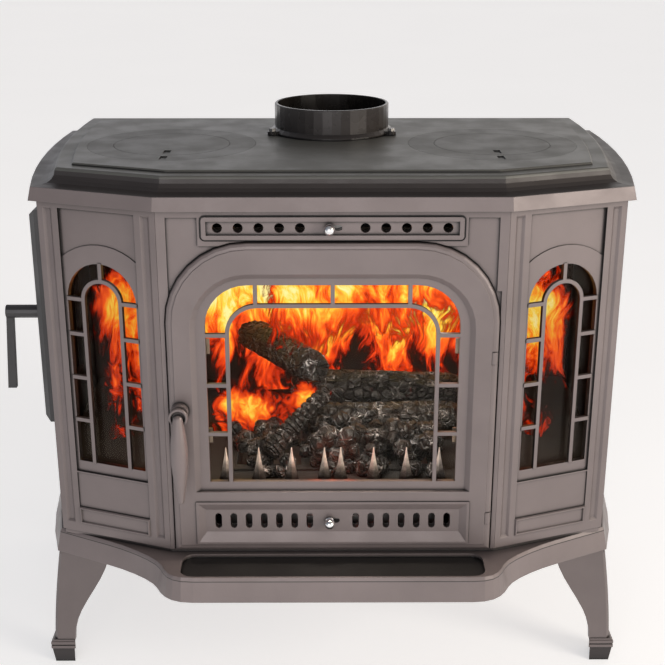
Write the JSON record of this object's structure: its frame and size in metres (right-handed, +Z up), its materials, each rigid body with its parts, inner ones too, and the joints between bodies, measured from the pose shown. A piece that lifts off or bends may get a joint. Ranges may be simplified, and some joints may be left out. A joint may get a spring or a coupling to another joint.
{
  "type": "wood cookstove",
  "caption": "Cast-iron wood cookstove with a bay front, arched glass fire door, round cooking hobs, rear flue collar, side loading door and cabriole legs.",
  "frame": {"origin": "middle of the whole box in plan, on the floor", "axes": "+Z up, the fire door faces -Y, the side loading door is on the -X side"},
  "size_m": [0.8894, 0.518, 0.7573],
  "materials": {
    "stove_paint": "satin warm grey stove paint",
    "top_plate_paint": "satin dark stove paint",
    "collar_paint": "satin near-black stove paint",
    "charcoal_paint": "satin charcoal stove paint",
    "hob_iron": "ground and blackened",
    "raw_iron": "as cast, sooty",
    "steel": "plain drawn steel",
    "chrome_knob": "polished",
    "stove_glass": "clear ceramic glass, dark behind",
    "rope": "woven glass-fibre rope",
    "charred_wood": "charred bark and ash"
  },
  "bodies": {
    "stove": {"leg_front_left": "stove_paint", "leg_bolt_front_left": "steel", "leg_front_right": "stove_paint", "leg_bolt_front_right": "steel", "leg_rear_left": "stove_paint", "leg_bolt_rear_left": "steel", "leg_rear_right": "stove_paint", "leg_bolt_rear_right": "steel", "base_plate": "stove_paint", "front_panel": "stove_paint", "door_hinge_pin_lower": "steel", "door_hinge_pin_upper": "steel", "window_panel_left": "stove_paint", "window_glass_left": "stove_glass", "window_panel_right": "stove_paint", "window_glass_right": "stove_glass", "side_wall_left": "stove_paint", "side_wall_right": "stove_paint", "side_door_hinge_pin": "steel", "back_panel": "raw_iron", "rear_heat_shield": "raw_iron", "top_plate": "top_plate_paint", "flue_collar": "collar_paint", "flue_collar_bolt_left": "steel", "flue_collar_bolt_right": "steel", "firebox_floor": "raw_iron", "grate": "raw_iron", "log_guard": "raw_iron", "rear_liner": "raw_iron", "baffle_plate": "raw_iron", "ash_pan": "steel", "log_1": "charred_wood", "log_2": "charred_wood", "log_3": "charred_wood", "log_4": "charred_wood"},
    "upper_air_control": {"upper_air_slide": "steel", "upper_air_knob": "chrome_knob"},
    "fire_door": {"main_door": "stove_paint", "main_door_glass": "stove_glass", "main_door_gasket": "rope", "glass_clip_lower_left": "steel", "glass_clip_upper_left": "steel", "glass_clip_lower_right": "steel", "glass_clip_upper_right": "steel", "door_handle_hub": "stove_paint"},
    "fire_door_handle": {"door_handle": "stove_paint", "door_latch_cam": "steel"},
    "lower_air_control": {"lower_air_slide": "steel", "lower_air_knob": "chrome_knob"},
    "loading_door": {"side_door": "charcoal_paint", "side_door_gasket": "rope"},
    "loading_door_lever": {"side_door_handle": "charcoal_paint", "side_door_latch": "steel"},
    "left_hob_ring": {"hob_ring_left": "hob_iron"},
    "left_hob_lid": {"hob_lid_left": "hob_iron"},
    "right_hob_ring": {"hob_ring_right": "hob_iron"},
    "right_hob_lid": {"hob_lid_right": "hob_iron"}
  },
  "joints": [
    {"name": "fire_door_swing", "type": "hinge", "parent": "stove", "child": "fire_door", "pos_m": [0.22128, -0.187, 0.3791], "axis": [0, 0, 1], "range_deg": [0, 110]},
    {"name": "fire_door_handle_turn", "type": "hinge", "parent": "fire_door", "child": "fire_door_handle", "pos_m": [-0.17072, -0.187, 0.4215], "axis": [0, 1, 0], "range_deg": [0, 90]},
    {"name": "lower_air_slide_run", "type": "slide", "parent": "fire_door", "child": "lower_air_control", "axis": [1, 0, 0], "range_m": [0, 0.0099]},
    {"name": "upper_air_slide_run", "type": "slide", "parent": "stove", "child": "upper_air_control", "axis": [1, 0, 0], "range_m": [0, 0.0124]},
    {"name": "loading_door_swing", "type": "hinge", "parent": "stove", "child": "loading_door", "pos_m": [-0.38122, 0.205, 0.48], "axis": [0, 0, -1], "range_deg": [0, 100]},
    {"name": "loading_door_lever_turn", "type": "hinge", "parent": "loading_door", "child": "loading_door_lever", "pos_m": [-0.38122, 0.025, 0.481], "axis": [-1, 0, 0], "range_deg": [0, 90]},
    {"name": "left_hob_ring_lift", "type": "slide", "parent": "stove", "child": "left_hob_ring", "axis": [0, 0, 1], "range_m": [0, 0.06]},
    {"name": "left_hob_lid_lift", "type": "slide", "parent": "left_hob_ring", "child": "left_hob_lid", "axis": [0, 0, 1], "range_m": [0, 0.06]},
    {"name": "right_hob_ring_lift", "type": "slide", "parent": "stove", "child": "right_hob_ring", "axis": [0, 0, 1], "range_m": [0, 0.06]},
    {"name": "right_hob_lid_lift", "type": "slide", "parent": "right_hob_ring", "child": "right_hob_lid", "axis": [0, 0, 1], "range_m": [0, 0.06]}
  ]
}
